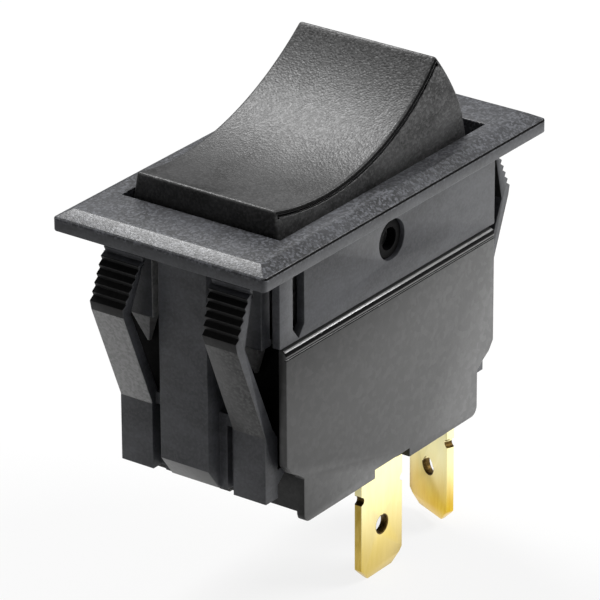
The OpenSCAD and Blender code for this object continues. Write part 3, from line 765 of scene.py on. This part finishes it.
def bezel_and_frame():
    """Bezel, skirt, posts and snap legs, moulded as one, with soft corners."""
    piece = merged_copy("bezel_frame", "bezel_and_frame")
    for end in (-1, 1):
        for side in (-1, 1):
            combine(piece, head_top(end, side), "UNION")

    def on_bezel_rim(edge, middle):
        at_end = abs(middle.x) > bezel_half_l - RIM_REACH
        at_side = abs(middle.y) > bezel_half_w - RIM_REACH
        return middle.z > -0.05 and (at_end or at_side)

    def on_opening(edge, middle):
        return (middle.z > bezel_top - 0.05 and abs(middle.y) < OPENING_HALF_W + 0.1
                and abs(middle.x - OPENING_X) < OPENING_HALF_L + 0.1)

    def outside(edge, middle):
        at_end = abs(middle.x) > BODY_HALF_L - 0.1
        at_side = abs(middle.y) > BODY_HALF_W - 0.1
        return middle.z < -0.1 and (at_end or at_side)

    def on_ridges(centre, normal):
        on_head = abs(centre.x) > 18 and 3.5 < abs(centre.y) < 8.1 and -6.7 < centre.z < -2.2
        return on_head and abs(normal.y) < 0.5

    def in_grooves(centre, normal):
        return on_ridges(centre, normal) and normal.z > 0.2

    def on_arm(centre, normal):
        on_leg = abs(centre.x) > 16.5 and abs(centre.y) > 3 and -21 < centre.z < -7
        return on_leg and -0.6 < normal.z < -0.1

    def under_post(centre, normal):
        on_post = abs(centre.x) > 16 and abs(centre.y) < 2.7 and centre.z < -19.5
        return on_post and -0.9 < normal.z < -0.3

    def over_side(centre, normal):
        return 0.6 < abs(normal.y) < 0.97 and centre.z > 0.9 and abs(centre.y) > bezel_half_w - 0.2

    def on_gusset(centre, normal):
        return 15.2 < abs(centre.x) < 16.4 and -11.4 < centre.z < -8.4 and -0.6 < normal.z < -0.15

    def beside_post(centre, normal):
        on_slot = abs(centre.x) < 16.46 and 4.4 < abs(centre.y) < 4.5 and -8.4 < centre.z < 0
        return on_slot and centre.y * normal.y < 0

    soften(piece, SOFT_FRAME, outside)
    soften(piece, SOFT_OPENING, on_opening, segments=3)
    soften(piece, SOFT_RIM, on_bezel_rim)
    paint_all(piece, BEZEL_PLASTIC)
    # painted shade on the ridges of the snap-leg heads
    paint_faces(piece, SHADOWED_PLASTIC, on_ridges)
    paint_faces(piece, SHADE_PLASTIC, in_grooves)
    paint_faces(piece, SHADE_PLASTIC, over_side)
    # painted light: the arms, the posts' undersides, the gussets and the slot walls get the side-lit plastic
    for wanted in (on_arm, under_post, on_gusset, beside_post):
        paint_faces(piece, SIDE_LIT_PLASTIC, wanted)
    return piece


def case_shell():
    """The case: soft moulded corners outside, sharp ones inside."""
    piece = merged_copy("case_body", "case_shell")

    def outside(edge, middle):
        return abs(middle.y) > BODY_HALF_W - 0.05 or abs(middle.x) > 13.3 or middle.z < case_bottom + 0.05

    def in_recess(centre, normal):
        within = abs(centre.x) < 16.1 and abs(centre.y) < 8.5 and -22.5 < centre.z < -8
        return within and abs(normal.x) > 0.7

    def at_rim(centre, normal):
        return centre.z > -9 and abs(centre.y) > BODY_HALF_W - 0.1 and 0.05 < normal.z < 0.9

    def on_rim_top(centre, normal):
        return at_rim(centre, normal) and normal.z > 0.6

    def on_base_end(centre, normal):
        return abs(normal.x) > 0.7 and abs(centre.x) < 14 and centre.z < -22.5

    soften(piece, SOFT_CASE, outside)
    paint_all(piece, CASE_PLASTIC)
    paint_faces(piece, SHADE_PLASTIC, in_recess)
    paint_faces(piece, SHADE_PLASTIC, at_rim)
    # painted highlight along the top of the rim
    paint_faces(piece, RIM_HIGHLIGHT_PLASTIC, on_rim_top)
    # painted shade on the case's end faces near its bottom
    paint_faces(piece, SHADOWED_PLASTIC, on_base_end)
    return piece


def stamped_blade(node, name, finish):
    """A stamped terminal with broken corners and a sunk hole, with painted shade on its −X edges, its nicks
    and its hole.
    """
    piece = merged_copy(node, name)
    flat = max(piece.data.polygons, key=lambda face: face.area).normal.copy()
    along = Vector((flat.y, -flat.x, 0))
    low_part = [vert.co for vert in piece.data.vertices if vert.co.z < blade_tip + 6]
    middle_at = sum((point @ along for point in low_part)) / len(low_part)

    def at_hole(place, reach):
        return math.hypot(place @ along - middle_at, place.z - blade_tip - HOLE_UP) < reach

    def round_hole(edge, middle):
        sideways = (edge.verts[0].co - edge.verts[1].co).normalized()
        return at_hole(middle, HOLE_REACH) and abs(sideways @ flat) < 0.5

    def in_hole(centre, normal):
        return at_hole(centre, HOLE_REACH) and abs(normal @ flat) < 0.95

    def in_nick(centre, normal):
        return abs(centre.z - blade_tip - NICK_UP) < NICK_REACH and abs(normal @ flat) < 0.5

    def on_edge(centre, normal):
        return centre.z < blade_tip + NICK_UP and normal.x < -0.7 and abs(normal @ flat) < 0.3

    def below_case(edge, middle):
        return middle.z < case_bottom + 0.5 and edge.calc_length() > 0.3

    soften(piece, HOLE_SINK, round_hole)
    soften(piece, SOFT_BLADE, below_case)
    paint_all(piece, finish)
    # painted shade on the blade's edges that face −X
    paint_faces(piece, EDGE_SHADE_BRASS, on_edge)
    # painted shade in the nicks and the hole
    paint_faces(piece, HOLE_SHADE_BRASS, in_nick)
    paint_faces(piece, HOLE_SHADE_BRASS, in_hole)
    return piece


# ---------------------------------------------------------------- pieces

finish_piece(bezel_and_frame(), "bezel_frame")
finish_piece(rocker_cap(), "rocker")
finish_piece(case_shell(), "case_body")
front_blade = stamped_blade("terminal_common", "common_blade", BLADE_BRASS)
finish_piece(front_blade, "terminal_common")
rear_blade = stamped_blade("terminal_load", "load_blade", REAR_LIT_BRASS)
finish_piece(rear_blade, "terminal_load")

for node, material in (("plunger", PLUNGER_NYLON), ("plunger_spring", SPRING_STEEL),
                       ("contact_lever", LEVER_BRASS), ("moving_contact", CONTACT_SILVER),
                       ("lever_cradle", LEVER_BRASS), ("cradle_rivet", RIVET_BRASS),
                       ("fixed_contact", CONTACT_SILVER)):
    carry_over(node, material)


# ---------------------------------------------------------------- camera

CAMERA_AT = (-0.34478, -0.25026, 0.18580)
CAMERA_AROUND = math.radians(-53.966)
CAMERA_ABOVE = math.radians(24.873)
CAMERA_ROLL = math.radians(-0.281)
SENSOR_W = 36.0
LENS = 315.52


def set_camera():
    """Looks down on the near corner from the left, as a product shot does."""
    turn = Matrix.Rotation(CAMERA_AROUND, 3, "Z") @ Matrix.Rotation(math.pi / 2 - CAMERA_ABOVE, 3, "X")
    turn = turn @ Matrix.Rotation(CAMERA_ROLL, 3, "Z")
    data = bpy.data.cameras.new("product_camera")
    data.sensor_width = SENSOR_W
    data.lens = LENS
    data.clip_start = 0.01
    data.clip_end = 20.0
    camera = bpy.data.objects.new("product_camera", data)
    camera.matrix_world = Matrix.Translation(CAMERA_AT) @ turn.to_4x4()
    bpy.context.scene.collection.objects.link(camera)
    bpy.context.scene.camera = camera


# ---------------------------------------------------------------- light, floor and surroundings

WHITE = (1, 1, 1, 1)
SWITCH_MIDDLE = Vector((0, 0, -0.010))
LAMP_DISTANCE = 0.9
PLAIN_FILL = 0.12
FLOOR_SIZE = 12.0
FLOOR_DROP = 0.00005
FLOOR_GLOW = 0.85


def softbox(name, direction, width, height, radiance):
    """An area lamp that faces the middle of the switch. radiance is how bright its face looks."""
    away = Vector(direction).normalized()
    data = bpy.data.lights.new(name, "AREA")
    data.shape = "RECTANGLE"
    data.size = width
    data.size_y = height
    data.energy = radiance * math.pi * width * height
    lamp = bpy.data.objects.new(name, data)
    lamp.location = SWITCH_MIDDLE + away * LAMP_DISTANCE
    lamp.rotation_euler = away.to_track_quat("Z", "Y").to_euler()
    bpy.context.scene.collection.objects.link(lamp)


def set_world():
    """White for the camera, a sky that brightens upwards for reflections, and a dim fill for the rest."""
    world = bpy.data.worlds.new("studio")
    world.use_nodes = True
    bpy.context.scene.world = world
    tree = world.node_tree
    background = tree.nodes["Background"]
    path = tree.nodes.new("ShaderNodeLightPath")
    mirrored = mirrored_rays(tree, path)
    around = tree.nodes.new("ShaderNodeTexCoord").outputs["Generated"]
    sky = ramp(tree, axis_of(tree, around, "Z"), 0.12, 0.45, 0.02, 0.85)
    plain = math_node(tree, "MULTIPLY_ADD", mirrored, -PLAIN_FILL, PLAIN_FILL)
    fill = math_node(tree, "MAXIMUM", math_node(tree, "MULTIPLY", mirrored, sky), plain)
    strength = math_node(tree, "MAXIMUM", path.outputs["Is Camera Ray"], fill)
    tree.links.new(strength, background.inputs["Strength"])
    background.inputs["Color"].default_value = WHITE


def set_floor():
    """A pale floor under the blades' tips that shows white and keeps a faint shadow. In reflections it glows
    as a painted light, brighter towards +X and −Y and fading away from the middle.
    """
    bpy.ops.mesh.primitive_plane_add(size=FLOOR_SIZE, location=(0, 0, blade_tip * MM - FLOOR_DROP))
    floor = bpy.context.active_object
    floor.name = "studio_floor"
    material = bpy.data.materials.new("floor_paint")
    material.use_nodes = True
    tree = material.node_tree
    tree.nodes.remove(tree.nodes["Principled BSDF"])
    matt = add(tree, "ShaderNodeBsdfDiffuse", Color=(0.9, 0.9, 0.9, 1))
    glow = add(tree, "ShaderNodeEmission", Color=WHITE)
    path = tree.nodes.new("ShaderNodeLightPath")
    mirrored = mirrored_rays(tree, path)
    coordinates = tree.nodes.new("ShaderNodeTexCoord").outputs["Object"]
    across = math_node(tree, "SUBTRACT", axis_of(tree, coordinates, "X"), axis_of(tree, coordinates, "Y"))
    sheen = ramp(tree, across, -0.03, 0.045, 0.64, 2.1)
    out_from_middle = add(tree, "ShaderNodeVectorMath", operation="LENGTH")
    tree.links.new(coordinates, out_from_middle.inputs[0])
    fading = ramp(tree, out_from_middle.outputs["Value"], 0.10, 0.26, 1.0, 0.02)
    sheen = math_node(tree, "MULTIPLY", sheen, fading)
    sheen = math_node(tree, "MULTIPLY", mirrored, sheen)
    sheen = math_node(tree, "MAXIMUM", path.outputs["Is Camera Ray"], sheen)
    tree.links.new(sheen, glow.inputs["Strength"])
    mix = tree.nodes.new("ShaderNodeMixShader")
    seen = math_node(tree, "MAXIMUM", path.outputs["Is Camera Ray"], mirrored)
    tree.links.new(math_node(tree, "MULTIPLY", seen, FLOOR_GLOW), mix.inputs[0])
    tree.links.new(matt.outputs[0], mix.inputs[1])
    tree.links.new(glow.outputs[0], mix.inputs[2])
    tree.links.new(mix.outputs[0], tree.nodes["Material Output"].inputs["Surface"])
    floor.data.materials.append(material)


deselect_all()
set_camera()
set_world()
set_floor()
softbox("key_softbox", (0.58, -0.56, 0.59), 0.40, 0.35, 13.0)
softbox("top_softbox", (0.26, 0.53, 0.80), 0.32, 0.35, 20.0)
bpy.context.scene.view_settings.view_transform = "Standard"
